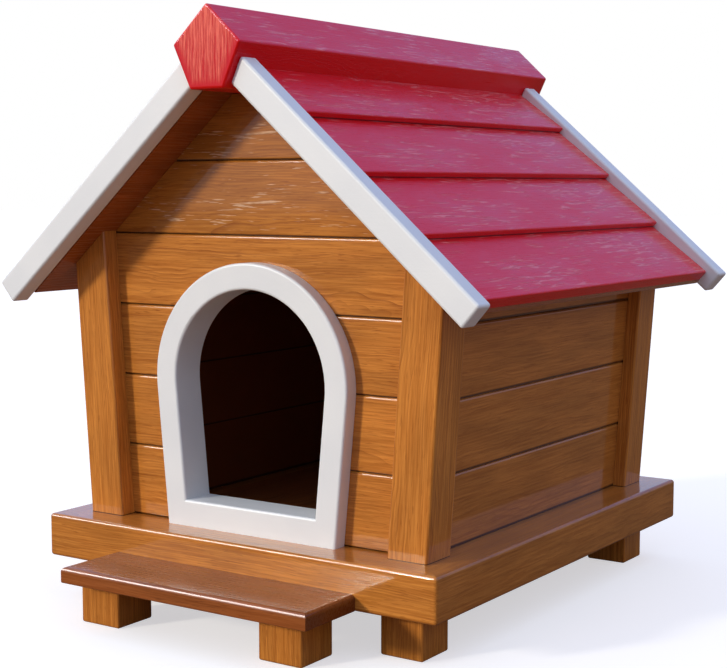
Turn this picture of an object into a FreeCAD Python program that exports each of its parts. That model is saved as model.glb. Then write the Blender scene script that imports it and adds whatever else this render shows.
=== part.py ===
import FreeCAD, Part
import math
import os

# A timber dog house on a mitred deck with block feet: leaning corner posts, boarded walls,
# an arched doorway with a thick surround, a gable roof of lapped planks that lifts off in one
# piece, and a low step in front of the doorway.
#
# All sizes are in millimetres.  While the pieces are made, x = 0 is the middle of the house,
# y = 0 the deck's front face, z = 0 the ground.  Every piece is moved at the end so that the
# origin is the middle of the footprint.

# Deck and feet
DECK_WIDTH = 800.0
DECK_DEPTH = 909.0
DECK_THICKNESS = 75.0
DECK_ROUND = 6.0
RAIL_WIDTH = 130.0
FOOT_SIDE = 78.0
FOOT_INSET_SIDE = 51.0
FOOT_INSET_END = 44.5
BLOCK_HEIGHT = 76.0
BLOCK_ROUND = 4.0
FLOOR_THICKNESS = 18.0
FLOOR_CLEARANCE = 0.5
BEARER_SIDE = 30.0

# Corner posts, which lean outwards
POST_SIDE = 73.0
POST_ROUND = 4.0
POST_INSET_SIDE = 50.5
POST_INSET_END = 54.0
POST_HEIGHT = 439.0
WALL_LEAN = 3.9
TENON_SIDE = 30.0
TENON_LENGTH = 30.0

# Wall boards
BOARD_THICKNESS = 28.0
BOARD_ROUND = 4.5
TONGUE_THICKNESS = 8.0
TONGUE_HEIGHT = 8.0
HOUSING_DEPTH = 12.0
HOUSING_CLEARANCE = 0.4
GABLE_WALL_RECESS = 32.0
SIDE_WALL_RECESS = 24.5
GABLE_ROWS_BELOW_EAVE = 4
GABLE_JOINT_DROP = 4.0
SIDE_ROWS = 4
SIDE_TOP_BOARD = 99.0

# Arched door surround
DOOR_RADIUS = 154.0
DOOR_ARCH_BELOW_POST_TOP = 185.0
DOOR_TAPER = 5.4
SURROUND_WIDTH = 44.0
SURROUND_DEPTH = 63.0
SURROUND_STANDS_OUT = 27.0
SURROUND_REBATE = 8.0
SURROUND_ROUND = 4.5
SILL_HEIGHT = 44.5

# Roof
ROOF_PITCH = 41.0
ROOF_SEAT_GAP = 0.3
BARGEBOARD_DEPTH = 45.5
BARGEBOARD_THICKNESS = 37.0
BARGEBOARD_ROUND = 5.0
BARGEBOARD_REACH = 84.5
ROOF_OVERHANG_FRONT = 26.0
ROOF_OVERHANG_REAR = 35.5
EAVE_REACH = 36.5
SHEATHING_EAVE_THICKNESS = 10.0
PLANKS_STEEPER_BY = 1.1
PLANK_ROWS = 4
PLANK_EXPOSURE = 139.0
PLANK_LAP = 18.0
PLANK_BUTT = 21.0
PLANK_HEAD = 7.5
PLANK_CLEARANCE = 0.2
PLANK_ROUND = 3.0
RIDGE_WIDTH = 135.4
RIDGE_FOOT_WIDTH = 67.4
RIDGE_HEIGHT = 133.0
RIDGE_SHOULDER_DROP = 62.0
RIDGE_RISE = 31.6
RIDGE_PAST_FRONT = 12.7
RIDGE_PAST_REAR = 43.0
RIDGE_ROUND = 4.0
GUSSET_THICKNESS = 18.0
GUSSET_DEPTH = 80.0
GUSSET_GAP = 1.5

# Step
TREAD_LEFT = 244.0
TREAD_RIGHT = 254.0
TREAD_DEPTH = 130.0
TREAD_THICKNESS = 27.0
TREAD_ROUND = 8.0
TREAD_LOWER_ROUND = 3.0
STEP_LEG_SIDE = 83.0
STEP_LEG_INSET_RIGHT = 41.5

# Dowels that hold the feet and the step
DOWEL_RADIUS = 6.0
DOWEL_LENGTH = 50.0
DOWEL_IN_TREAD = 18.0
DOWEL_CLEARANCE = 0.1

# Places worked out from the sizes above
DECK_TOP = BLOCK_HEIGHT + DECK_THICKNESS
HALF_DECK = DECK_WIDTH / 2
MID_DEPTH = DECK_DEPTH / 2
LEAN = math.radians(WALL_LEAN)
POST_OUTER = HALF_DECK - POST_INSET_SIDE
POST_INNER = POST_OUTER - POST_SIDE
POST_FRONT = POST_INSET_END
POST_BACK = POST_FRONT + POST_SIDE
GABLE_FACE = POST_FRONT + GABLE_WALL_RECESS
GABLE_BACK = GABLE_FACE + BOARD_THICKNESS
SIDE_FACE = POST_OUTER - SIDE_WALL_RECESS
SIDE_BACK = SIDE_FACE - BOARD_THICKNESS
STEP_FRONT = -TREAD_DEPTH
ROOF_FRONT = -ROOF_OVERHANG_FRONT
ROOF_REAR = DECK_DEPTH + ROOF_OVERHANG_REAR
PLANKS_FRONT = ROOF_FRONT + BARGEBOARD_THICKNESS
PLANKS_REAR = ROOF_REAR - BARGEBOARD_THICKNESS
RIDGE_FRONT = ROOF_FRONT - RIDGE_PAST_FRONT
RIDGE_REAR = ROOF_REAR + RIDGE_PAST_REAR
ROOF_SLOPE = math.tan(math.radians(ROOF_PITCH))
PLANK_ANGLE = math.radians(ROOF_PITCH + PLANKS_STEEPER_BY)
SOFFIT_PEAK = DECK_TOP + POST_HEIGHT + ROOF_SLOPE * (POST_OUTER + math.tan(LEAN) * POST_HEIGHT)
BARGEBOARD_PEAK = SOFFIT_PEAK + BARGEBOARD_DEPTH / math.cos(math.radians(ROOF_PITCH))
RIDGE_TOP = BARGEBOARD_PEAK + RIDGE_RISE
RIDGE_FOOT = RIDGE_TOP - RIDGE_HEIGHT
RIDGE_SHOULDER = RIDGE_TOP - RIDGE_SHOULDER_DROP
SOFFIT_LINE = ((0, SOFFIT_PEAK), (1, SOFFIT_PEAK - ROOF_SLOPE))
MIDDLE_Y = (min(STEP_FRONT, RIDGE_FRONT) + RIDGE_REAR) / 2

# A cutting block runs this far past the face that it opens, and FAR is past everything
OVERSHOOT = 1.0
FAR = 2000.0


def block(x0, x1, y0, y1, z0, z1):
    return Part.makeBox(x1 - x0, y1 - y0, z1 - z0, FreeCAD.Vector(x0, y0, z0))


def solid_of(corners, along):
    face = Part.Face(Part.makePolygon(corners + corners[:1]))
    return face.extrude(along)


def prism(outline, y0, y1):
    """An outline of (x, z) points, run from y0 to y1."""
    corners = [FreeCAD.Vector(x, y0, z) for x, z in outline]
    return solid_of(corners, FreeCAD.Vector(0, y1 - y0, 0))


def plate(outline, z0, z1):
    """An outline of (x, y) points, run from z0 to z1."""
    corners = [FreeCAD.Vector(x, y, z0) for x, y in outline]
    return solid_of(corners, FreeCAD.Vector(0, 0, z1 - z0))


def rounded(shape, radius, wanted):
    """Rounds the edges whose box of corners the test accepts."""
    edges = [edge for edge in shape.Edges if wanted(edge.BoundBox)]
    return shape.makeFillet(radius, edges)


def same(a, b):
    return abs(a - b) < 0.01


def mirrored_x(shape):
    return shape.mirror(FreeCAD.Vector(0, 0, 0), FreeCAD.Vector(1, 0, 0))


def mirrored_y(shape):
    return shape.mirror(FreeCAD.Vector(0, MID_DEPTH, 0), FreeCAD.Vector(0, 1, 0))


def meet(a, b, c, d):
    """The point where the line through a and b crosses the line through c and d."""
    abx, abz = b[0] - a[0], b[1] - a[1]
    cdx, cdz = d[0] - c[0], d[1] - c[1]
    share = ((c[0] - a[0]) * cdz - (c[1] - a[1]) * cdx) / (abx * cdz - abz * cdx)
    return a[0] + share * abx, a[1] + share * abz


def soffit(x):
    """Height of the roof's underside at x on the right slope."""
    return SOFFIT_PEAK - ROOF_SLOPE * x


def leaned(shape):
    """Tips an upright piece of the right wall outwards about the foot of the posts' outer face."""
    tipped = shape.copy()
    tipped.rotate(FreeCAD.Vector(POST_OUTER, 0, DECK_TOP), FreeCAD.Vector(0, 1, 0), WALL_LEAN)
    return tipped


def leaning_x(x, z):
    """Where the upright plane at x stands at height z once it has been tipped outwards."""
    return POST_OUTER + (x - POST_OUTER) / math.cos(LEAN) + math.tan(LEAN) * (z - DECK_TOP)


def under_roof():
    """The space between the deck and the roof's underside, with its flat top under the ridge."""
    top = RIDGE_FOOT - ROOF_SEAT_GAP
    seat = SOFFIT_PEAK - ROOF_SEAT_GAP
    shoulder = (seat - top) / ROOF_SLOPE
    reach = (seat - DECK_TOP) / ROOF_SLOPE
    outline = [(-reach, DECK_TOP), (reach, DECK_TOP), (shoulder, top), (-shoulder, top)]
    return prism(outline, -FAR, FAR)


def gable_outline():
    """Outline of a gable wall, let into the grooves of the leaning posts and under the roof."""
    end = POST_INNER + HOUSING_DEPTH - HOUSING_CLEARANCE
    foot = (leaning_x(end, DECK_TOP), DECK_TOP)
    high = (leaning_x(end, DECK_TOP + FAR), DECK_TOP + FAR)
    seat = SOFFIT_PEAK - ROOF_SEAT_GAP
    corner = meet(foot, high, (0, seat), (1, seat - ROOF_SLOPE))
    top = RIDGE_FOOT - ROOF_SEAT_GAP
    shoulder = ((seat - top) / ROOF_SLOPE, top)
    right = [foot, corner, shoulder]
    return [(-x, z) for x, z in right] + right[::-1]


# ---------------------------------------------------------------- deck, feet and floor

def foot_middle():
    return HALF_DECK - FOOT_INSET_SIDE - FOOT_SIDE / 2, FOOT_INSET_END + FOOT_SIDE / 2


def dowel(x, y, z, clearance=0.0):
    """A dowel standing with its lower end at z; with a clearance it is the hole for one."""
    return Part.makeCylinder(DOWEL_RADIUS + clearance, DOWEL_LENGTH + 2 * clearance,
                             FreeCAD.Vector(x, y, z - clearance))


def foot_dowel(clearance=0.0):
    x, y = foot_middle()
    return dowel(x, y, BLOCK_HEIGHT - DOWEL_LENGTH / 2, clearance)


def step_dowel(x, clearance=0.0):
    z = BLOCK_HEIGHT + DOWEL_IN_TREAD - DOWEL_LENGTH
    return dowel(x, -STEP_LEG_SIDE / 2, z, clearance)


def standing_block(x, y, side):
    """A square block from the ground up, centred on x and y."""
    half = side / 2
    body = block(x - half, x + half, y - half, y + half, 0, BLOCK_HEIGHT)
    return rounded(body, BLOCK_ROUND, lambda box: not same(box.ZMin, BLOCK_HEIGHT))


def four_corners(shape):
    """The right front piece and its three mirror images, by name."""
    left = mirrored_x(shape)
    return {"front_left": left, "front_right": shape,
            "rear_left": mirrored_y(left), "rear_right": mirrored_y(shape)}


def feet():
    x, y = foot_middle()
    foot = standing_block(x, y, FOOT_SIDE).cut(foot_dowel(DOWEL_CLEARANCE))
    return {"foot_" + corner: shape for corner, shape in four_corners(foot).items()}


def tenon(clearance=0.0):
    """The stub under the right front post; with a clearance it is the mortise for it."""
    x = POST_OUTER - POST_SIDE / 2
    y = POST_FRONT + POST_SIDE / 2
    half = TENON_SIDE / 2 + clearance
    return block(x - half, x + half, y - half, y + half, DECK_TOP - TENON_LENGTH - clearance, DECK_TOP)


def deck_rails():
    deck = block(-HALF_DECK, HALF_DECK, 0, DECK_DEPTH, BLOCK_HEIGHT, DECK_TOP)
    deck = rounded(deck, DECK_ROUND, lambda box: True)
    inner = HALF_DECK - RAIL_WIDTH
    inner_back = DECK_DEPTH - RAIL_WIDTH
    deck = deck.cut(block(-inner, inner, RAIL_WIDTH, inner_back, 0, FAR))
    for mortise in four_corners(tenon(HOUSING_CLEARANCE)).values():
        deck = deck.cut(mortise)
    for hole in four_corners(foot_dowel(DOWEL_CLEARANCE)).values():
        deck = deck.cut(hole)
    front = plate([(-HALF_DECK, 0), (HALF_DECK, 0), (inner, RAIL_WIDTH), (-inner, RAIL_WIDTH)],
                  0, DECK_TOP)
    right = plate([(HALF_DECK, 0), (HALF_DECK, DECK_DEPTH), (inner, inner_back), (inner, RAIL_WIDTH)],
                  0, DECK_TOP)
    wedges = {"front": front, "rear": mirrored_y(front), "left": mirrored_x(right), "right": right}
    return {"deck_rail_" + side: deck.common(wedge) for side, wedge in wedges.items()}


def floor():
    inner = HALF_DECK - RAIL_WIDTH
    x = inner - FLOOR_CLEARANCE
    y0 = RAIL_WIDTH + FLOOR_CLEARANCE
    y1 = DECK_DEPTH - y0
    under = DECK_TOP - FLOOR_THICKNESS
    bearer = block(inner - BEARER_SIDE, inner, y0, y1, under - BEARER_SIDE, under)
    return {"floor_panel": block(-x, x, y0, y1, under, DECK_TOP),
            "floor_bearer_left": mirrored_x(bearer), "floor_bearer_right": bearer}


# ---------------------------------------------------------------- posts and walls

def posts():
    sunk = POST_SIDE * math.sin(LEAN)
    z0 = DECK_TOP - sunk
    z1 = DECK_TOP + POST_HEIGHT + 2 * POST_SIDE
    post = block(POST_INNER, POST_OUTER, POST_FRONT, POST_BACK, z0, z1)
    post = rounded(post, POST_ROUND, lambda box: box.ZLength > POST_HEIGHT)
    gap = HOUSING_CLEARANCE
    gable_groove = block(POST_INNER - OVERSHOOT, POST_INNER + HOUSING_DEPTH,
                         GABLE_FACE - gap, GABLE_BACK + gap, z0, z1)
    side_groove = block(SIDE_BACK - gap, SIDE_FACE + gap,
                        POST_BACK - HOUSING_DEPTH, POST_BACK + OVERSHOOT, z0, z1)
    post = leaned(post.cut(gable_groove).cut(side_groove)).common(under_roof())
    post = post.fuse(tenon()).removeSplitter()
    return {"post_" + corner: shape for corner, shape in four_corners(post).items()}


def wall_board(length, height, tongue, groove):
    """A board along x, centred, with its outer face at y = 0 and its lower edge at z = 0."""
    half = length / 2
    board = block(-half, half, 0, BOARD_THICKNESS, 0, height)
    board = rounded(board, BOARD_ROUND, lambda box: same(box.XLength, length) and same(box.YMax, 0))
    y0 = (BOARD_THICKNESS - TONGUE_THICKNESS) / 2
    y1 = y0 + TONGUE_THICKNESS
    gap = HOUSING_CLEARANCE
    if tongue:
        board = board.fuse(block(-half, half, y0, y1, height / 2, height + TONGUE_HEIGHT - gap))
    if groove:
        board = board.cut(block(-half, half, y0 - gap, y1 + gap, 0, TONGUE_HEIGHT))
    return board.removeSplitter()


def gable_rows():
    """The boards of a gable wall from the deck up, before the doorway is cut."""
    inner_corner = meet((leaning_x(POST_INNER, DECK_TOP), DECK_TOP),
                        (leaning_x(POST_INNER, DECK_TOP + FAR), DECK_TOP + FAR), *SOFFIT_LINE)
    height = (inner_corner[1] - DECK_TOP - GABLE_JOINT_DROP) / GABLE_ROWS_BELOW_EAVE
    rows = GABLE_ROWS_BELOW_EAVE + 2
    wall = prism(gable_outline(), GABLE_FACE, GABLE_BACK)
    boards = []
    for row in range(rows):
        last = row == rows - 1
        z = DECK_TOP + row * height
        tall = FAR if last else height
        board = wall_board(DECK_WIDTH, tall, not last, row > 0)
        board.translate(FreeCAD.Vector(0, GABLE_FACE, z))
        boards.append(board.common(wall))
    return boards


def rear_wall():
    names = ["rear_board_" + str(row + 1) for row in range(GABLE_ROWS_BELOW_EAVE)]
    names += ["rear_gable_lower", "rear_gable_upper"]
    return {name: mirrored_y(board) for name, board in zip(names, gable_rows())}


def doorway(radius, bottom, y0, y1):
    """An arched prism: a round head on straight sides that draw in towards the bottom."""
    taper = math.radians(DOOR_TAPER)
    z = DECK_TOP + POST_HEIGHT - DOOR_ARCH_BELOW_POST_TOP
    side_x = radius * math.cos(taper)
    side_z = z - radius * math.sin(taper)
    foot_x = side_x - (side_z - bottom) * math.tan(taper)
    left_foot = FreeCAD.Vector(-foot_x, y0, bottom)
    right_foot = FreeCAD.Vector(foot_x, y0, bottom)
    left = FreeCAD.Vector(-side_x, y0, side_z)
    right = FreeCAD.Vector(side_x, y0, side_z)
    head = Part.Arc(right, FreeCAD.Vector(0, y0, z + radius), left).toShape()
    edges = [Part.makeLine(left_foot, right_foot), Part.makeLine(right_foot, right), head,
             Part.makeLine(left, left_foot)]
    return Part.Face(Part.Wire(edges)).extrude(FreeCAD.Vector(0, y1 - y0, 0))


def door_surround():
    front = GABLE_FACE - SURROUND_STANDS_OUT
    back = front + SURROUND_DEPTH
    outer_radius = DOOR_RADIUS + SURROUND_WIDTH
    gap = HOUSING_CLEARANCE
    body = doorway(outer_radius, DECK_TOP, front, back)
    body = body.cut(doorway(DOOR_RADIUS, DECK_TOP + SILL_HEIGHT, front, back))
    body = rounded(body, SURROUND_ROUND,
                   lambda box: same(box.YMax, front) and not same(box.ZMax, DECK_TOP))
    rebate = block(-HALF_DECK, HALF_DECK, GABLE_FACE - gap, GABLE_BACK + gap, 0, FAR)
    rebate = rebate.cut(doorway(outer_radius - SURROUND_REBATE, 0, front, back))
    return {"door_surround": body.cut(rebate)}


def front_wall():
    radius = DOOR_RADIUS + SURROUND_WIDTH - SURROUND_REBATE + HOUSING_CLEARANCE
    hole = doorway(radius, 0, GABLE_FACE - OVERSHOOT, GABLE_BACK + OVERSHOOT)
    names = ["front_board_" + str(row + 1) for row in range(GABLE_ROWS_BELOW_EAVE)]
    names += ["front_gable_lower", "front_gable_upper"]
    pieces = {}
    for name, board in zip(names, gable_rows()):
        solids = board.cut(hole).Solids
        if len(solids) == 1:
            pieces[name] = solids[0]
        else:
            left, right = sorted(solids, key=lambda solid: solid.CenterOfMass.x)
            pieces[name + "_left"] = left
            pieces[name + "_right"] = right
    return pieces


def side_walls():
    sunk = POST_SIDE * math.sin(LEAN)
    face_corner = meet((leaning_x(SIDE_FACE, DECK_TOP), DECK_TOP),
                       (leaning_x(SIDE_FACE, DECK_TOP + FAR), DECK_TOP + FAR), *SOFFIT_LINE)
    height = (face_corner[1] - DECK_TOP - SIDE_TOP_BOARD) / (SIDE_ROWS - 1)
    length = DECK_DEPTH - 2 * (POST_BACK - HOUSING_DEPTH + HOUSING_CLEARANCE)
    room = under_roof()
    pieces = {}
    for row in range(SIDE_ROWS):
        last = row == SIDE_ROWS - 1
        start = row * height if row > 0 else -sunk
        top = FAR if last else (row + 1) * height
        board = wall_board(length, top - start, not last, row > 0)
        board.rotate(FreeCAD.Vector(0, 0, 0), FreeCAD.Vector(0, 0, 1), 90)
        board.translate(FreeCAD.Vector(SIDE_FACE, MID_DEPTH, DECK_TOP + start))
        board = leaned(board).common(room)
        pieces["right_board_" + str(row + 1)] = board
        pieces["left_board_" + str(row + 1)] = mirrored_x(board)
    return pieces


# ---------------------------------------------------------------- roof, made for the right slope

RIDGE_SIDE = ((RIDGE_FOOT_WIDTH / 2, RIDGE_FOOT), (RIDGE_WIDTH / 2, RIDGE_SHOULDER))


def to_ridge(a, b):
    """Where the line through a and b runs into the ridge beam's right side."""
    return meet(a, b, *RIDGE_SIDE)


def up_slope(along, out):
    """The (x, z) point that lies along the slope from the eave and out from the sheathing's top."""
    eave_x = HALF_DECK + EAVE_REACH
    eave_z = soffit(eave_x)
    out_all = out + SHEATHING_EAVE_THICKNESS
    return (eave_x - along * math.cos(PLANK_ANGLE) + out_all * math.sin(PLANK_ANGLE),
            eave_z + along * math.sin(PLANK_ANGLE) + out_all * math.cos(PLANK_ANGLE))


def both_slopes(name, shape):
    return {name.replace("SIDE", "left"): mirrored_x(shape), name.replace("SIDE", "right"): shape}


def ridge_beam():
    half = RIDGE_WIDTH / 2
    foot = RIDGE_FOOT_WIDTH / 2
    outline = [(0, RIDGE_TOP), (half, RIDGE_SHOULDER), (foot, RIDGE_FOOT),
               (-foot, RIDGE_FOOT), (-half, RIDGE_SHOULDER)]
    beam = prism(outline, RIDGE_FRONT, RIDGE_REAR)
    return {"ridge_beam": rounded(beam, RIDGE_ROUND, lambda box: True)}


def sheathing():
    """The boarding under the planks, thinner at the eave, which closes the roof from below."""
    low = up_slope(0, -SHEATHING_EAVE_THICKNESS)
    eave = up_slope(0, 0)
    top_end = to_ridge(eave, up_slope(1, 0))
    low_end = to_ridge(low, (0, SOFFIT_PEAK))
    board = prism([low, eave, top_end, low_end], PLANKS_FRONT, PLANKS_REAR)
    return both_slopes("roof_sheathing_SIDE", board)


def roof_planks():
    """Lapped planks: thick at the lower edge, where a rebate rides over the head of the one below."""
    fall = (PLANK_BUTT - PLANK_HEAD) / (PLANK_EXPOSURE + PLANK_LAP)
    pieces = {}
    for row in range(PLANK_ROWS):
        start = row * PLANK_EXPOSURE
        head = start + PLANK_EXPOSURE + PLANK_LAP
        rebate_end = start + PLANK_LAP + PLANK_CLEARANCE
        butt_top = up_slope(start, PLANK_BUTT)
        if row == 0:
            under = [up_slope(start, 0)]
        else:
            lap_low = PLANK_BUTT - fall * PLANK_EXPOSURE + PLANK_CLEARANCE
            lap_high = lap_low - fall * (rebate_end - start)
            under = [up_slope(rebate_end, 0), up_slope(rebate_end, lap_high), up_slope(start, lap_low)]
        if row == PLANK_ROWS - 1:
            foot_end = to_ridge(up_slope(0, 0), up_slope(1, 0))
            upper_end = to_ridge(up_slope(0, PLANK_HEAD), up_slope(1, PLANK_HEAD))
        else:
            foot_end = up_slope(head, 0)
            upper_end = up_slope(head, PLANK_HEAD)
        outline = under + [butt_top, upper_end, foot_end]
        plank = prism(outline, PLANKS_FRONT, PLANKS_REAR)
        butt_x, butt_z = butt_top

        def shows(box):
            at_butt = same(box.XMax, butt_x) and same(box.ZMin, butt_z)
            down_butt = same(box.XMax, butt_x) and same(box.ZMax, butt_z) and same(box.YLength, 0)
            return at_butt or down_butt

        plank = rounded(plank, PLANK_ROUND, shows)
        pieces.update(both_slopes("roof_plank_SIDE_" + str(row + 1), plank))
    return pieces


def bargeboards():
    tip_x = HALF_DECK + BARGEBOARD_REACH
    tip = (tip_x, BARGEBOARD_PEAK - ROOF_SLOPE * tip_x)
    pitch = math.radians(ROOF_PITCH)
    low_tip = (tip[0] - BARGEBOARD_DEPTH * math.sin(pitch), tip[1] - BARGEBOARD_DEPTH * math.cos(pitch))
    top_end = to_ridge(tip, (0, BARGEBOARD_PEAK))
    low_end = to_ridge(low_tip, (0, SOFFIT_PEAK))
    outline = [low_tip, tip, top_end, low_end]
    pieces = {}
    for end, y0 in (("front", ROOF_FRONT), ("rear", PLANKS_REAR)):
        board = prism(outline, y0, y0 + BARGEBOARD_THICKNESS)
        board = rounded(board, BARGEBOARD_ROUND, lambda box: True)
        pieces.update(both_slopes("bargeboard_" + end + "_SIDE", board))
    return pieces


def gussets():
    """Boards inside the gables that tie the two slopes under the ridge and keep the roof in place."""
    bottom = RIDGE_FOOT - GUSSET_DEPTH
    corner = ((SOFFIT_PEAK - bottom) / ROOF_SLOPE, bottom)
    shoulder = to_ridge(corner, (0, SOFFIT_PEAK))
    right = [corner, shoulder, RIDGE_SIDE[0]]
    outline = [(-x, z) for x, z in right] + right[::-1]
    y0 = GABLE_BACK + GUSSET_GAP
    front = prism(outline, y0, y0 + GUSSET_THICKNESS)
    return {"roof_gusset_front": front, "roof_gusset_rear": mirrored_y(front)}


# ---------------------------------------------------------------- step

def step():
    top = BLOCK_HEIGHT + TREAD_THICKNESS
    tread = block(-TREAD_LEFT, TREAD_RIGHT, STEP_FRONT, 0, BLOCK_HEIGHT, top)
    tread = rounded(tread, TREAD_ROUND, lambda box: same(box.ZMin, top) and not same(box.YMin, 0))
    tread = rounded(tread, TREAD_LOWER_ROUND,
                    lambda box: same(box.ZMax, BLOCK_HEIGHT) and not same(box.YMin, 0))
    left_x = STEP_LEG_SIDE / 2 - TREAD_LEFT
    right_x = TREAD_RIGHT - STEP_LEG_INSET_RIGHT - STEP_LEG_SIDE / 2
    pieces = {}
    for side, x in (("left", left_x), ("right", right_x)):
        hole = step_dowel(x, DOWEL_CLEARANCE)
        tread = tread.cut(hole)
        pieces["step_leg_" + side] = standing_block(x, -STEP_LEG_SIDE / 2, STEP_LEG_SIDE).cut(hole)
    pieces["step_tread"] = tread
    dowels = list(four_corners(foot_dowel()).values())
    dowels += [step_dowel(left_x), step_dowel(right_x)]
    pieces["dowels"] = Part.Compound(dowels)
    return pieces


os.makedirs("parts", exist_ok=True)
for make in (feet, deck_rails, floor, posts, front_wall, rear_wall, side_walls, door_surround,
             ridge_beam, sheathing, roof_planks, bargeboards, gussets, step):
    for node, shape in make().items():
        shape.translate(FreeCAD.Vector(0, -MIDDLE_Y, 0))
        shape.exportStep("parts/" + node + ".step")
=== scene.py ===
import bpy
import math
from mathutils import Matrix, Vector


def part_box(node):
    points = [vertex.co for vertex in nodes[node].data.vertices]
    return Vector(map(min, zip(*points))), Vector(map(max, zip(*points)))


# A timber dog house: deck, walls, arched white doorway, lapped red roof that lifts off, and a step.
# The sections below follow the order in which it is put together.  Lengths are metres.

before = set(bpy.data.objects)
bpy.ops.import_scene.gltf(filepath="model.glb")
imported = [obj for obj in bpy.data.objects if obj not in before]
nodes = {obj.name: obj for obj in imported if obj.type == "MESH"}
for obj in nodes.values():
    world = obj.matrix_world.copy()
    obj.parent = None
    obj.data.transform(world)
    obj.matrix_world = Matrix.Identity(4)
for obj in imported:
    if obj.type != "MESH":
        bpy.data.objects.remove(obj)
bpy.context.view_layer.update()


# ------------------------------------------------------------------------------ deck rails
# Four rails of 75 x 130 mm softwood, mitred and glued at the corners, with rounded edges.
# Like all the plain timber of the house they are stained honey brown and varnished to a gloss.

HONEY_PALE = (0.68, 0.252, 0.042, 1)
HONEY = (0.46, 0.148, 0.021, 1)
HONEY_RING = (0.24, 0.056, 0.006, 1)
SIDE_PALE = (0.60, 0.220, 0.040, 1)
SIDE_HONEY = (0.43, 0.138, 0.021, 1)
SIDE_FIGURED = 0.6
END_GRAIN_SHARE = 0.8
RING_WIDTH = 0.0036
RING_WAVER = 0.034
RING_SHARE = 0.85
RING_SINKS = -0.4
PORE_SHARE = 0.50
FIBRE_RISES = 0.4
FIBRE_ROUGHENS = 0.10
# Painted highlights: pale glints on raised fibres along the grain
GLINT_COLOUR = (0.92, 0.64, 0.42, 1)
GLINT_SHARE = 0.55
# Painted shade in the joints: a dark line at the foot of each wall board and post
JOINT_SHADE = (0.035, 0.010, 0.003, 1)
JOINT_SHADE_SHARE = 0.95
# Painted shade on the faces that look into the dark inside of the house
INSIDE_SHADE = (0.17, 0.040, 0.010, 1)
DECK_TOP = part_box("deck_rail_front")[1].z


def add(tree, kind, inputs=None, **settings):
    """A new node, with its inputs given as values or as the sockets that feed them."""
    node = tree.nodes.new(kind)
    for name, value in settings.items():
        setattr(node, name, value)
    for socket, value in (inputs or {}).items():
        if isinstance(value, bpy.types.NodeSocket):
            tree.links.new(value, node.inputs[socket])
        else:
            node.inputs[socket].default_value = value
    return node


def maths(tree, operation, *values):
    return add(tree, "ShaderNodeMath", dict(enumerate(values)), operation=operation).outputs[0]


def vector_maths(tree, operation, *values):
    return add(tree, "ShaderNodeVectorMath", dict(enumerate(values)), operation=operation).outputs[0]


def between(tree, value, low, high, start=0.0, end=1.0):
    """The value's place from low to high, as a smooth step from start to end."""
    inputs = {"Value": value, "From Min": low, "From Max": high, "To Min": start, "To Max": end}
    return add(tree, "ShaderNodeMapRange", inputs, interpolation_type="SMOOTHSTEP").outputs[0]


def mixed(tree, share, colour_a, colour_b, blend="MIX"):
    inputs = {0: share, 6: colour_a, 7: colour_b}
    return add(tree, "ShaderNodeMix", inputs, data_type="RGBA", blend_type=blend).outputs[2]


def noise(tree, place, along, across, detail=2.0, roughness=0.5, kind="Fac"):
    """Cloudy noise, with its number of waves to the metre along the grain and across it."""
    place = vector_maths(tree, "MULTIPLY", place, (along, across, across))
    inputs = {"Vector": place, "Scale": 1.0, "Detail": detail, "Roughness": roughness}
    return add(tree, "ShaderNodeTexNoise", inputs).outputs[kind]


def new_group(name, inputs, outputs):
    """An empty node group; returns the group, its inputs' sockets and its output node."""
    tree = bpy.data.node_groups.new(name, "ShaderNodeTree")
    for label, kind in inputs.items():
        tree.interface.new_socket(name=label, in_out="INPUT", socket_type="NodeSocket" + kind)
    for label, kind in outputs.items():
        tree.interface.new_socket(name=label, in_out="OUTPUT", socket_type="NodeSocket" + kind)
    return tree, tree.nodes.new("NodeGroupInput").outputs, tree.nodes.new("NodeGroupOutput")


def put_out(tree, out, **values):
    for name, value in values.items():
        tree.links.new(value, out.inputs[name.replace("_", " ")])


BOARDS_APART = (7.0, 3.0, 5.0)
HEART_OFF = (0.0, 0.05, 0.05)
HEART_SPREAD = (0.0, 0.07, 0.07)
LATE_WOOD_POWER = 2.5
FAINTEST_YEAR = 0.3


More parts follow.
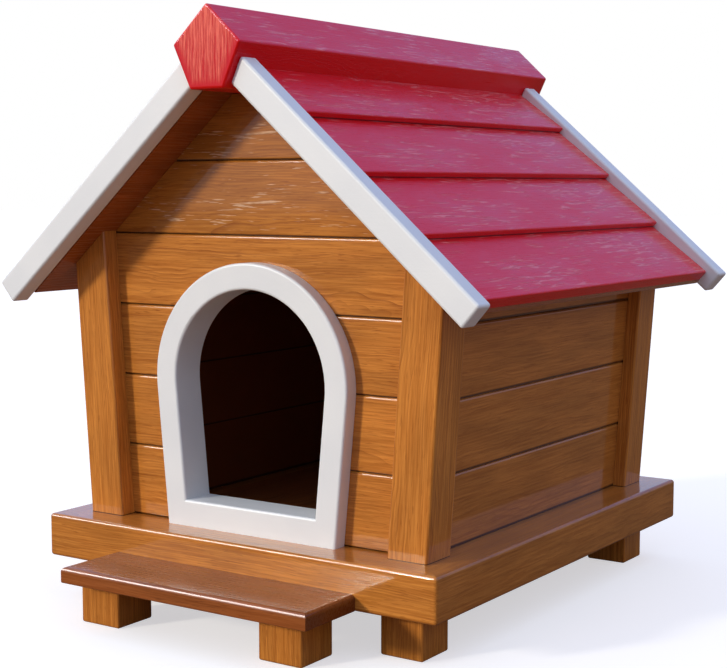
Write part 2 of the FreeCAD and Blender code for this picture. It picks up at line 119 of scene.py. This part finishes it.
def make_timber_figure():
    """The figure of a sawn board whose grain runs along the first axis of Place.
    Place is measured from the board's middle.  Board is a number that sets its random look."""
    tree, given, out = new_group(
        "timber figure",
        {"Place": "Vector", "Board": "Float", "Ring width": "Float", "Waver": "Float"},
        {"Rings": "Float", "Fibres": "Float", "Pores": "Float", "Clouds": "Float", "Board shade": "Float"})
    luck = add(tree, "ShaderNodeTexWhiteNoise", {"W": given["Board"]}, noise_dimensions="1D")
    spread = vector_maths(tree, "MULTIPLY", luck.outputs["Color"], BOARDS_APART)
    place = vector_maths(tree, "ADD", given["Place"], spread)

    # The heart of the tree lies off one corner of the board, and wanders along its length
    wander = noise(tree, place, along=3.5, across=9.0, detail=3.0, roughness=0.55, kind="Color")
    wander = vector_maths(tree, "SUBTRACT", wander, (0.5, 0.5, 0.5))
    wander = add(tree, "ShaderNodeVectorMath", {0: wander, "Scale": given["Waver"]}, operation="SCALE")
    heart = vector_maths(tree, "MULTIPLY_ADD", luck.outputs["Color"], HEART_SPREAD, HEART_OFF)
    from_heart = vector_maths(tree, "ADD", given["Place"], wander.outputs[0])
    from_heart = vector_maths(tree, "ADD", from_heart, heart)
    parts = add(tree, "ShaderNodeSeparateXYZ", {0: from_heart}).outputs
    radius = maths(tree, "SQRT", maths(tree, "ADD", maths(tree, "MULTIPLY", parts[1], parts[1]),
                                       maths(tree, "MULTIPLY", parts[2], parts[2])))
    years = maths(tree, "DIVIDE", radius, given["Ring width"])
    late_wood = maths(tree, "POWER", maths(tree, "FRACT", years), LATE_WOOD_POWER)
    year = add(tree, "ShaderNodeTexWhiteNoise", {"W": maths(tree, "FLOOR", years)}, noise_dimensions="1D")
    darkness = maths(tree, "MULTIPLY_ADD", year.outputs["Value"], 1.0 - FAINTEST_YEAR, FAINTEST_YEAR)
    rings = maths(tree, "MULTIPLY", late_wood, darkness)
    fading = noise(tree, place, along=7.0, across=50.0)
    rings = maths(tree, "MULTIPLY", rings, between(tree, fading, 0.32, 0.62, start=0.15, end=1.0))

    fibres = noise(tree, place, along=8.0, across=240.0, detail=4.0, roughness=0.65)
    pores = noise(tree, place, along=38.0, across=560.0, detail=1.0)
    clouds = noise(tree, place, along=5.0, across=22.0)
    put_out(tree, out, Rings=rings, Fibres=between(tree, fibres, 0.30, 0.70),
            Pores=between(tree, pores, 0.62, 0.72), Clouds=between(tree, clouds, 0.30, 0.70),
            Board_shade=luck.outputs["Value"])
    return tree


TIMBER_FIGURE = make_timber_figure()
AXIS_ORDER = {"x": (0, 1, 2), "y": (1, 0, 2), "z": (2, 1, 0)}


def piece_value(tree, name, kind="Fac"):
    """A number or a place that finish_piece has set on each piece."""
    return add(tree, "ShaderNodeAttribute", attribute_type="OBJECT", attribute_name=name).outputs[kind]


def place_along(tree, along):
    """Place on the object, from the piece's middle, with the grain's axis first.
    In a piece that leans sideways, the grain leans with it."""
    coordinates = add(tree, "ShaderNodeTexCoord").outputs["Object"]
    place = vector_maths(tree, "SUBTRACT", coordinates, piece_value(tree, "middle", "Vector"))
    parts = add(tree, "ShaderNodeSeparateXYZ", {0: place}).outputs
    leaning = maths(tree, "MULTIPLY", parts[2], piece_value(tree, "lean"))
    straight = (maths(tree, "SUBTRACT", parts[0], leaning), parts[1], parts[2])
    first, second, third = (straight[i] for i in AXIS_ORDER[along])
    return add(tree, "ShaderNodeCombineXYZ", {0: first, 1: second, 2: third}).outputs[0]


def new_material(name):
    """A material with its shader; returns the material, its tree and the shader."""
    material = bpy.data.materials.new(name)
    material.use_nodes = True
    tree = material.node_tree
    shader = tree.nodes["Principled BSDF"]
    return material, tree, shader


def feed(tree, shader, **sources):
    for name, value in sources.items():
        socket = shader.inputs[name.replace("_", " ")]
        if isinstance(value, bpy.types.NodeSocket):
            tree.links.new(value, socket)
        else:
            socket.default_value = value


def group_node(tree, group, **inputs):
    """A node of that group with its inputs fed; returns its outputs."""
    node = add(tree, "ShaderNodeGroup", node_tree=group)
    feed(tree, node, **inputs)
    return node.outputs


def bump(tree, height, depth):
    return add(tree, "ShaderNodeBump", {"Height": height, "Distance": depth}).outputs[0]


def make_varnish_flecks():
    """Short dashes along the grain where fibres stand raised in the varnish, with pale painted
    highlights on them.  Amount is how thickly they lie, and they come in patches."""
    tree, given, out = new_group("raised fibres and painted glints", {"Place": "Vector", "Amount": "Float"},
                                 {"Flecks": "Float"})
    dashes = noise(tree, given["Place"], along=22.0, across=330.0, roughness=0.6)
    patches = noise(tree, given["Place"], along=5.0, across=16.0, detail=1.0)
    level = maths(tree, "MULTIPLY_ADD", patches, given["Amount"], dashes)
    put_out(tree, out, Flecks=between(tree, level, 0.88, 0.97))
    return tree


FIBRES_AND_GLINTS = make_varnish_flecks()


def varnished(name, along, pale, middling, ring, flecks=0.2, rough=0.34, raised=0.0003, figured=1.0,
              coat=0.07, joint_shade=0.0, inside_shade=None):
    """Stained softwood under gloss varnish, its grain along one axis and raised by that height.
    Figured is how clearly its rings show, and coat how dull the varnish is.  Joint shade is how
    high a line of painted shade reaches at its foot.  Inside shade is the colour of painted shade
    on faces that look into the house."""
    material, tree, shader = new_material(name)
    place = place_along(tree, along)
    figure = group_node(tree, TIMBER_FIGURE, Place=place, Board=piece_value(tree, "board"),
                        Ring_width=RING_WIDTH, Waver=RING_WAVER)
    flecks = group_node(tree, FIBRES_AND_GLINTS, Place=place, Amount=flecks)["Flecks"]
    colour = mixed(tree, figure["Fibres"], middling, pale)
    rings = maths(tree, "MULTIPLY", figure["Rings"], RING_SHARE * figured)
    colour = mixed(tree, rings, colour, ring)
    pores = maths(tree, "MULTIPLY", figure["Pores"], PORE_SHARE * figured)
    colour = mixed(tree, pores, colour, ring)
    shade = between(tree, figure["Board shade"], 0.0, 1.0, start=0.93, end=1.04)
    clouds = between(tree, figure["Clouds"], 0.0, 1.0, start=0.90, end=1.06)
    shade = maths(tree, "MULTIPLY", shade, clouds)
    shade = add(tree, "ShaderNodeCombineColor", {0: shade, 1: shade, 2: shade}).outputs[0]
    colour = mixed(tree, 1.0, colour, shade, "MULTIPLY")
    colour = mixed(tree, on_end_grain(tree, along), colour, ring)
    # Pale flecks of painted highlight on the raised fibres
    colour = mixed(tree, maths(tree, "MULTIPLY", flecks, GLINT_SHARE), colour, GLINT_COLOUR)
    # Painted shade on the faces inside the house
    if inside_shade:
        colour = mixed(tree, looks_inside(tree), colour, inside_shade)
    # Painted shade in the joint at the piece's foot
    if joint_shade:
        colour = mixed(tree, at_foot(tree, joint_shade), colour, JOINT_SHADE)
    height = maths(tree, "ADD", maths(tree, "MULTIPLY", figure["Rings"], RING_SINKS),
                   maths(tree, "MULTIPLY_ADD", figure["Fibres"], FIBRE_RISES, flecks))
    roughness = maths(tree, "MULTIPLY_ADD", figure["Fibres"], FIBRE_ROUGHENS, rough)
    feed(tree, shader, Base_Color=colour, Roughness=roughness, Normal=bump(tree, height, raised),
         Specular_IOR_Level=0.07, Coat_Weight=1.0, Coat_Roughness=coat, Coat_IOR=1.45)
    return material


def on_end_grain(tree, along):
    """Near 1 on faces that cut across the grain, which drink more stain."""
    normal = add(tree, "ShaderNodeNewGeometry").outputs["Normal"]
    facing = add(tree, "ShaderNodeSeparateXYZ", {0: normal}).outputs["xyz".index(along)]
    return between(tree, maths(tree, "ABSOLUTE", facing), 0.60, 0.95, start=0.0, end=END_GRAIN_SHARE)


def looks_inside(tree):
    """1 on a wall board's face that looks into the house, and 0 on its other faces."""
    outwards = vector_maths(tree, "MULTIPLY", piece_value(tree, "middle", "Vector"), (1.0, 1.0, 0.0))
    outwards = vector_maths(tree, "NORMALIZE", outwards)
    normal = add(tree, "ShaderNodeNewGeometry").outputs["Normal"]
    facing = add(tree, "ShaderNodeVectorMath", {0: normal, 1: outwards}, operation="DOT_PRODUCT")
    return between(tree, facing.outputs["Value"], -0.55, -0.35, start=1.0, end=0.0)


def at_foot(tree, reach):
    """Near 1 from the foot of a piece up to that reach, where it meets the piece below: painted shade in
    the joint.
    """
    place = add(tree, "ShaderNodeTexCoord").outputs["Object"]
    height = add(tree, "ShaderNodeSeparateXYZ", {0: place}).outputs[2]
    height = maths(tree, "SUBTRACT", height, piece_value(tree, "foot"))
    return between(tree, height, 0.6 * reach, 1.4 * reach, start=JOINT_SHADE_SHARE, end=0.0)


def finish_piece(name, material, board, lean=0.0):
    """Gives a piece its finish, its random number, the middle from which its grain is laid out,
    the height of its foot, and how far its grain leans to the right for each metre up."""
    piece = nodes[name]
    piece.data.materials.clear()
    piece.data.materials.append(material)
    low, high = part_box(name)
    piece["middle"] = (low + high) / 2
    piece["foot"] = max(low.z, DECK_TOP)
    piece["board"] = board
    piece["lean"] = lean


HONEY_ACROSS = varnished("honey varnish, grain across", "x", HONEY_PALE, HONEY, HONEY_RING)
HONEY_BACK = varnished("honey varnish, grain front to back", "y", SIDE_PALE, SIDE_HONEY, HONEY_RING,
                       figured=SIDE_FIGURED)
finish_piece("deck_rail_front", HONEY_ACROSS, 1)
finish_piece("deck_rail_rear", HONEY_ACROSS, 2)
finish_piece("deck_rail_left", HONEY_BACK, 3)
finish_piece("deck_rail_right", HONEY_BACK, 4)


# ------------------------------------------------------------------------------ feet
# Four blocks of 78 mm timber under the deck, each held by a dowel, with the grain upright.
# They have the deck's honey varnish.

HONEY_UPRIGHT = varnished("honey varnish, grain upright", "z", HONEY_PALE, HONEY, HONEY_RING)
CORNERS = ("front_left", "front_right", "rear_left", "rear_right")
for board, corner in enumerate(CORNERS, 11):
    finish_piece("foot_" + corner, HONEY_UPRIGHT, board)


# ------------------------------------------------------------------------------ floor and dowels
# A floor panel let in between the rails on two bearers, planed and given one thin clear coat.
# The dowels in the feet and the step are of the same bare wood.

BARE_PALE = (0.46, 0.145, 0.040, 1)
BARE = (0.39, 0.110, 0.028, 1)
BARE_RING = (0.20, 0.05, 0.011, 1)
BARE_WOOD = varnished("thin clear coat", "y", BARE_PALE, BARE, BARE_RING, rough=0.5)
for board, name in enumerate(("floor_panel", "floor_bearer_left", "floor_bearer_right", "dowels"), 21):
    finish_piece(name, BARE_WOOD, board)


# ------------------------------------------------------------------------------ corner posts
# Four 73 mm posts that lean out with the side walls and stand in the deck on stub tenons.
# Their grain runs along the post, so it leans too.

POST_SIDE = 0.073
# A thin line of painted shade runs round the foot of each post, on the deck
POST_FOOT_SHADE = 0.0012
HONEY_POST = varnished("honey varnish on posts", "z", HONEY_PALE, HONEY, HONEY_RING,
                       figured=0.85, joint_shade=POST_FOOT_SHADE)
for board, corner in enumerate(CORNERS, 31):
    low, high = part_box("post_" + corner)
    lean = (high.x - low.x - POST_SIDE) / (high.z - low.z)
    if high.x < 0:
        lean = -lean
    finish_piece("post_" + corner, HONEY_POST, board, lean)


# ------------------------------------------------------------------------------ gable walls
# Tongued boards let into the posts.  Those under the gable have raised fibres in their varnish,
# and along the grain these carry more pale dashes of painted highlight.

GABLE_PALE = (0.56, 0.205, 0.030, 1)
GABLE_HONEY = (0.39, 0.125, 0.015, 1)
# Painted shade in the joint at the foot of each board
END_JOINT_SHADE = 0.0028
WALL_ACROSS = varnished("honey varnish on end walls", "x", HONEY_PALE, HONEY, HONEY_RING,
                        joint_shade=END_JOINT_SHADE, inside_shade=INSIDE_SHADE)
GABLE_BOARD = varnished("honey varnish on gable boards", "x", GABLE_PALE, GABLE_HONEY, HONEY_RING,
                        flecks=0.50, joint_shade=END_JOINT_SHADE, inside_shade=INSIDE_SHADE)
for row in range(1, 5):
    finish_piece("rear_board_" + str(row), WALL_ACROSS, 40 + row)
finish_piece("front_board_4", WALL_ACROSS, 55)
for row in range(1, 4):
    for side, board in (("left", 50), ("right", 60)):
        finish_piece("front_board_" + str(row) + "_" + side, WALL_ACROSS, board + row)
for end, board in (("front", 70), ("rear", 72)):
    finish_piece(end + "_gable_lower", GABLE_BOARD, board)
    finish_piece(end + "_gable_upper", GABLE_BOARD, board + 1)


# ------------------------------------------------------------------------------ side walls
# Four tongued boards on each side, let into the posts and leaning outwards with them.
# Like all the wall boards they are darkened with painted shade on the inside of the house.

# A taller line of painted shade in the joints of the side walls
SIDE_JOINT_SHADE = 0.0045
WALL_BACK = varnished("honey varnish on side walls", "y", SIDE_PALE, SIDE_HONEY, HONEY_RING,
                      figured=SIDE_FIGURED, joint_shade=SIDE_JOINT_SHADE, inside_shade=INSIDE_SHADE)
for side, board in (("left", 80), ("right", 90)):
    for row in range(1, 5):
        finish_piece(side + "_board_" + str(row), WALL_BACK, board + row)


# ------------------------------------------------------------------------------ door surround
# One thick arched ring with a sill, painted white with a smooth satin paint.
# The front boards enter a rebate round it, and it stands out from them.

WHITE = (0.80, 0.80, 0.785, 1)
WHITE_CLOUD = (0.76, 0.765, 0.76, 1)
WHITE_ROUGH = 0.36
WHITE_RAISED = 0.00012
PEEL_ROUGHENS = 0.10
BRUSH_RISES = 0.6


def make_brush_marks():
    """Faint streaks that a brush leaves in paint, along the first axis of Place."""
    tree, given, out = new_group("brush marks", {"Place": "Vector"}, {"Marks": "Float"})
    marks = noise(tree, given["Place"], along=9.0, across=420.0, detail=3.0, roughness=0.6)
    put_out(tree, out, Marks=marks)
    return tree


BRUSH_MARKS = make_brush_marks()


def white_paint(name, along):
    """White satin paint, brushed along one axis, with the fine dimples of a thick coat."""
    material, tree, shader = new_material(name)
    place = place_along(tree, along)
    marks = group_node(tree, BRUSH_MARKS, Place=place)["Marks"]
    peel = noise(tree, place, along=260.0, across=260.0)
    clouds = noise(tree, place, along=9.0, across=9.0)
    colour = mixed(tree, between(tree, clouds, 0.3, 0.7), WHITE, WHITE_CLOUD)
    height = maths(tree, "MULTIPLY_ADD", marks, BRUSH_RISES, peel)
    rough = maths(tree, "MULTIPLY_ADD", peel, PEEL_ROUGHENS, WHITE_ROUGH)
    feed(tree, shader, Base_Color=colour, Roughness=rough, Normal=bump(tree, height, WHITE_RAISED))
    return material


finish_piece("door_surround", white_paint("white paint on the surround", "z"), 100)


# ------------------------------------------------------------------------------ roof sheathing
# The boarding under the planks, which shows below the overhangs, under red-brown varnish,
# and the two gussets inside the gables.

BROWN_PALE = (0.42, 0.110, 0.024, 1)
BROWN = (0.37, 0.088, 0.017, 1)
BROWN_RING = (0.27, 0.055, 0.010, 1)
BROWN_STAIN = varnished("brown stain", "y", BROWN_PALE, BROWN, BROWN_RING, rough=0.22)
for board, name in enumerate(("roof_sheathing_left", "roof_sheathing_right",
                              "roof_gusset_front", "roof_gusset_rear"), 110):
    finish_piece(name, BROWN_STAIN, board)


# ------------------------------------------------------------------------------ roof planks
# Four lapped planks on each slope, brushed with gloss red paint, with a line of painted shade at
# the foot of each.  The grain stands up through the paint as contours, drawn pale as painted highlights.

RED = (0.80, 0.003, 0.005, 1)
RED_ROUGH = 0.22
RED_RAISED = 0.0006
BRUSH_ROUGHENS = 0.16
# Pale streaks of painted highlight, where the grain stands through the paint
STREAK_GLINT_COLOUR = (1.0, 0.24, 0.20, 1)
STREAK_GLINT_SHARE = 0.75
STREAK_GLOSS = 0.06
PATCH_GLOSS = 0.42
THICKER_REARWARDS = 0.20
CONTOURS_PER_HILL = 5.0
PLANK_RING_WIDTH = 0.0055
PLANK_RING_WAVER = 0.11
PLANK_RING_RISES = 0.5
# Painted shade along the foot of each lapping plank
LAP_SHADE = (0.16, 0.0, 0.001, 1)
LAP_SHADE_REACH = 0.0018
PLUM_SHEEN = (1.0, 0.50, 0.85, 1)


def make_paint_streaks():
    """Thin broken streaks on faces that look up, where the grain stands through the paint, drawn pale
    as painted highlights.  They bend round each other like contours, along the first axis of Place,
    in patches that thicken towards the rear, where the painted highlights are brightest.  Gloss is
    how thickly the clear gloss lies."""
    tree, given, out = new_group("paint streaks", {"Place": "Vector"},
                                 {"Streaks": "Float", "Gloss": "Float"})
    place = given["Place"]
    rearwards = add(tree, "ShaderNodeSeparateXYZ", {0: place}).outputs[0]
    hills = noise(tree, place, along=5.5, across=95.0, detail=3.0)
    contours = maths(tree, "PINGPONG", maths(tree, "MULTIPLY", hills, CONTOURS_PER_HILL), 0.5)
    patches = noise(tree, place, along=4.5, across=13.0, detail=3.0, roughness=0.6)
    patches = maths(tree, "MULTIPLY_ADD", rearwards, THICKER_REARWARDS, patches)
    breaks = noise(tree, place, along=12.0, across=90.0)
    streaks = maths(tree, "MULTIPLY", between(tree, contours, 0.03, 0.17, start=1.0, end=0.0),
                    between(tree, maths(tree, "ADD", patches, breaks), 0.86, 1.08))
    normal = add(tree, "ShaderNodeNewGeometry").outputs["Normal"]
    upwards = between(tree, add(tree, "ShaderNodeSeparateXYZ", {0: normal}).outputs[2], 0.0, 0.5)
    gloss = between(tree, patches, 0.25, 0.80, start=0.0, end=PATCH_GLOSS)
    gloss = maths(tree, "MULTIPLY_ADD", streaks, STREAK_GLOSS, gloss)
    put_out(tree, out, Streaks=maths(tree, "MULTIPLY", streaks, upwards),
            Gloss=maths(tree, "MULTIPLY", gloss, upwards))
    return tree


PAINT_STREAKS = make_paint_streaks()


def red_over_grain(tree):
    """The red coat along a plank: its colour with pale streaks of painted highlight, height over the
    grain, brush marks and gloss.
    """
    place = place_along(tree, "y")
    figure = group_node(tree, TIMBER_FIGURE, Place=place, Board=piece_value(tree, "board"),
                        Ring_width=PLANK_RING_WIDTH, Waver=PLANK_RING_WAVER)
    marks = group_node(tree, BRUSH_MARKS, Place=place)["Marks"]
    streaks = group_node(tree, PAINT_STREAKS, Place=place)
    # Pale streaks of painted highlight over the raised grain
    share = maths(tree, "MULTIPLY", streaks["Streaks"], STREAK_GLINT_SHARE)
    colour = mixed(tree, share, RED, STREAK_GLINT_COLOUR)
    height = maths(tree, "ADD", maths(tree, "MULTIPLY", figure["Rings"], PLANK_RING_RISES),
                   maths(tree, "ADD", marks, streaks["Streaks"]))
    return colour, height, marks, streaks["Gloss"]


def gloss_red(tree, shader, colour, roughness, normal, gloss):
    """Red gloss paint, whose shine turns plum where the sky is seen in it."""
    feed(tree, shader, Base_Color=colour, Roughness=roughness, Normal=normal,
         Specular_Tint=PLUM_SHEEN, Coat_Weight=gloss, Coat_Roughness=0.12, Coat_IOR=1.6)


def plank_paint():
    """Red paint on a plank, with a dark line of painted shade at its foot where it laps over the next."""
    material, tree, shader = new_material("red paint")
    colour, height, marks, gloss = red_over_grain(tree)
    # Painted shade along the plank's foot
    colour = mixed(tree, at_foot(tree, LAP_SHADE_REACH), colour, LAP_SHADE)
    roughness = maths(tree, "MULTIPLY_ADD", marks, BRUSH_ROUGHENS, RED_ROUGH)
    gloss_red(tree, shader, colour, roughness, bump(tree, height, RED_RAISED), gloss)
    return material


RED_PAINT = plank_paint()
for side, board in (("left", 120), ("right", 130)):
    for row in range(1, 5):
        finish_piece("roof_plank_" + side + "_" + str(row), RED_PAINT, board + row)
    # The lowest plank laps over no other, so its foot has no line of painted shade
    nodes["roof_plank_" + side + "_1"]["foot"] = 0.0


# ------------------------------------------------------------------------------ ridge beam
# A five-sided beam that joins the two slopes along the ridge, painted red like the planks.
# Its ends are cut square, with the paint in ridges over their sawn grain: pale painted highlights
# on a deeper red, which fade out into painted shade at the lower rim.

# The deep red of the ends, and the pale of the painted highlights on their ridges
END_DEEP = (0.60, 0.006, 0.002, 1)
END_PALE_GLINT = (0.93, 0.170, 0.100, 1)
RIDGE_WIDTH = 0.1354
RIDGE_FOOT_WIDTH = 0.0674
RIDGE_SHOULDER_DROP = 0.062
END_RAISED = 0.0005
END_ROUGHENS = -0.12
# How far from the lower rim the painted highlights fade into painted shade
SHADED_RIM_START = 0.004
SHADED_RIM_END = 0.020


def from_lower_rim(tree, place):
    """How far a point of the beam's end lies from the end's foot and its two lower sides."""
    low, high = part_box("ridge_beam")
    half_height = (high.z - low.z) / 2
    rise = 2 * half_height - RIDGE_SHOULDER_DROP
    run = (RIDGE_WIDTH - RIDGE_FOOT_WIDTH) / 2
    slant = math.hypot(rise, run)
    upwards, _, sideways = add(tree, "ShaderNodeSeparateXYZ", {0: place}).outputs
    from_foot = maths(tree, "ADD", upwards, half_height)
    reach = maths(tree, "MULTIPLY_ADD", from_foot, run / rise, RIDGE_FOOT_WIDTH / 2)
    from_side = maths(tree, "SUBTRACT", reach, maths(tree, "ABSOLUTE", sideways))
    from_side = maths(tree, "MULTIPLY", from_side, rise / slant)
    return maths(tree, "MINIMUM", from_foot, from_side)


def ridge_paint():
    """Red paint brushed up and down the beam's ends, in glossy ridges drawn pale as painted highlights;
    near the lower rim they are left deep red as painted shade.
    """
    material, tree, shader = new_material("red paint on the ridge")
    colour, height, marks, gloss = red_over_grain(tree)
    place = place_along(tree, "z")
    upwards = add(tree, "ShaderNodeSeparateXYZ", {0: place}).outputs[0]
    ridges = noise(tree, place, along=18.0, across=330.0, detail=4.0, roughness=0.7)
    ridges = between(tree, maths(tree, "ADD", upwards, ridges), 0.34, 0.66)
    # The painted highlights fade out towards the lower rim, which stays deep red as painted shade
    off_shaded_rim = between(tree, from_lower_rim(tree, place), SHADED_RIM_START, SHADED_RIM_END)
    ridges = maths(tree, "MULTIPLY", ridges, off_shaded_rim)
    normal = add(tree, "ShaderNodeNewGeometry").outputs["Normal"]
    facing = add(tree, "ShaderNodeSeparateXYZ", {0: normal}).outputs[1]
    on_end = between(tree, maths(tree, "ABSOLUTE", facing), 0.55, 0.97)
    colour = mixed(tree, on_end, colour, mixed(tree, ridges, END_DEEP, END_PALE_GLINT))
    height = add(tree, "ShaderNodeMix", {0: on_end, 2: height, 3: ridges}).outputs[0]
    roughness = maths(tree, "MULTIPLY_ADD", marks, BRUSH_ROUGHENS, RED_ROUGH)
    roughness = maths(tree, "MULTIPLY_ADD", on_end, END_ROUGHENS, roughness)
    gloss_red(tree, shader, colour, roughness, bump(tree, height, END_RAISED), gloss)
    return material


finish_piece("ridge_beam", ridge_paint(), 140)


# ------------------------------------------------------------------------------ bargeboards
# White-painted boards along the roof's four sloping ends, butted against the ridge beam.
# They cover the ends of the planks and of the sheathing.

BARGEBOARD_WHITE = white_paint("white paint on bargeboards", "x")
for board, corner in enumerate(CORNERS, 150):
    finish_piece("bargeboard_" + corner, BARGEBOARD_WHITE, board)


# ------------------------------------------------------------------------------ step
# A tread stained darker than the house, its edges rounded, under the same clear varnish.
# Two block legs of honey-varnished timber are doweled to it.

DARK_PALE = (0.36, 0.102, 0.024, 1)
DARK = (0.27, 0.070, 0.014, 1)
DARK_RING = (0.12, 0.025, 0.005, 1)
DARK_STAIN = varnished("dark stain", "x", DARK_PALE, DARK, DARK_RING, rough=0.24, raised=0.0001,
                       coat=0.15)
finish_piece("step_tread", DARK_STAIN, 160)
for board, side in enumerate(("left", "right"), 161):
    finish_piece("step_leg_" + side, HONEY_UPRIGHT, board)


# ------------------------------------------------------------------------------ floor, light and camera
# A plain pale floor that throws only a little warm light back up, one large soft lamp from the
# upper left in front, and a pale blue dome.  A wide panel above the lamp is seen only in the
# gloss, where it draws the highlights along the rounded edges.

FLOOR_HALF = 30.0
LIGHT_HEADING = (0.58, 1.0, -0.40)
LIGHT_ANGLE = math.radians(7.0)
LIGHT_COLOUR = (1.0, 0.965, 0.85)
LIGHT_STRENGTH = 2.0
PANEL_HEADING = (0.61, 0.57, -0.54)
PANEL_ANGLE = math.radians(22.0)
PANEL_COLOUR = (1.0, 0.95, 0.92)
PANEL_STRENGTH = 2.5
SKY_LEFT = (0.85, 0.78, 0.82, 1)
SKY_RIGHT = (0.39, 0.40, 0.54, 1)
SKY_REAR = (0.66, 0.80, 1.15, 1)
SKY_HIGH = (0.71, 0.86, 1.15, 1)
SKY_DEEP = (0.30, 0.36, 0.80, 1)
WHITE_OUT = (1.0, 1.0, 1.0, 1)
FLOOR_SHADED = (0.58, 0.57, 0.58, 1)
FLOOR_PALE = (0.60, 0.58, 0.55, 1)
FLOOR_BOUNCE = (0.24, 0.14, 0.08, 1)
BLACK = (0.0, 0.0, 0.0, 1)
CAMERA_PLACE = (1.5398, -2.3211, 0.7311)
CAMERA_AZIMUTH = math.radians(33.869)
CAMERA_TILT = math.radians(5.628)
CAMERA_LENS = 75.35

ground = bpy.data.meshes.new("floor")
ground.from_pydata([(-FLOOR_HALF, -FLOOR_HALF, 0), (FLOOR_HALF, -FLOOR_HALF, 0),
                    (FLOOR_HALF, FLOOR_HALF, 0), (-FLOOR_HALF, FLOOR_HALF, 0)], [], [(0, 1, 2, 3)])
floor = bpy.data.objects.new("floor", ground)
bpy.context.scene.collection.objects.link(floor)
floor_finish, tree, shader = new_material("pale floor")
seen = add(tree, "ShaderNodeLightPath").outputs["Is Camera Ray"]
feed(tree, shader, Base_Color=mixed(tree, seen, FLOOR_BOUNCE, FLOOR_PALE), Roughness=0.9,
     Specular_IOR_Level=0.0, Emission_Color=mixed(tree, seen, BLACK, FLOOR_SHADED),
     Emission_Strength=1.0)
ground.materials.append(floor_finish)


def add_lamp(name, heading, angle, colour, strength):
    """A far lamp that shines along its heading and looks as wide as its angle."""
    lamp = bpy.data.lights.new(name, "SUN")
    lamp.energy = strength
    lamp.angle = angle
    lamp.color = colour
    lamp_object = bpy.data.objects.new(name, lamp)
    bpy.context.scene.collection.objects.link(lamp_object)
    lamp_object.rotation_mode = "QUATERNION"
    lamp_object.rotation_quaternion = Vector(heading).to_track_quat("-Z", "Y")
    return lamp_object


add_lamp("soft key lamp", LIGHT_HEADING, LIGHT_ANGLE, LIGHT_COLOUR, LIGHT_STRENGTH)
panel = add_lamp("highlight panel", PANEL_HEADING, PANEL_ANGLE, PANEL_COLOUR, PANEL_STRENGTH)
panel.visible_diffuse = False
panel.data.cycles.max_bounces = 1

world = bpy.data.worlds.new("pale dome")
bpy.context.scene.world = world
world.use_nodes = True
tree = world.node_tree
outward = add(tree, "ShaderNodeTexCoord").outputs["Generated"]
parts = add(tree, "ShaderNodeSeparateXYZ", {0: outward}).outputs
horizon = mixed(tree, between(tree, parts[1], 0.0, 0.8), SKY_LEFT, SKY_REAR)
horizon = mixed(tree, between(tree, parts[0], -0.8, 0.2), horizon, SKY_RIGHT)
sky = mixed(tree, between(tree, parts[2], 0.0, 1.0), horizon, SKY_HIGH)
deep = maths(tree, "MULTIPLY", between(tree, parts[1], 0.30, 0.75), between(tree, parts[2], 0.15, 0.40))
sky = mixed(tree, deep, sky, SKY_DEEP)
seen = add(tree, "ShaderNodeLightPath").outputs["Is Camera Ray"]
tree.links.new(mixed(tree, seen, sky, WHITE_OUT), tree.nodes["Background"].inputs["Color"])

camera = bpy.data.cameras.new("camera")
camera.lens = CAMERA_LENS
camera_object = bpy.data.objects.new("camera", camera)
camera_object.location = CAMERA_PLACE
camera_object.rotation_euler = (math.pi / 2 - CAMERA_TILT, 0, CAMERA_AZIMUTH)
bpy.context.scene.collection.objects.link(camera_object)
bpy.context.scene.camera = camera_object
bpy.context.scene.view_settings.view_transform = "Standard"
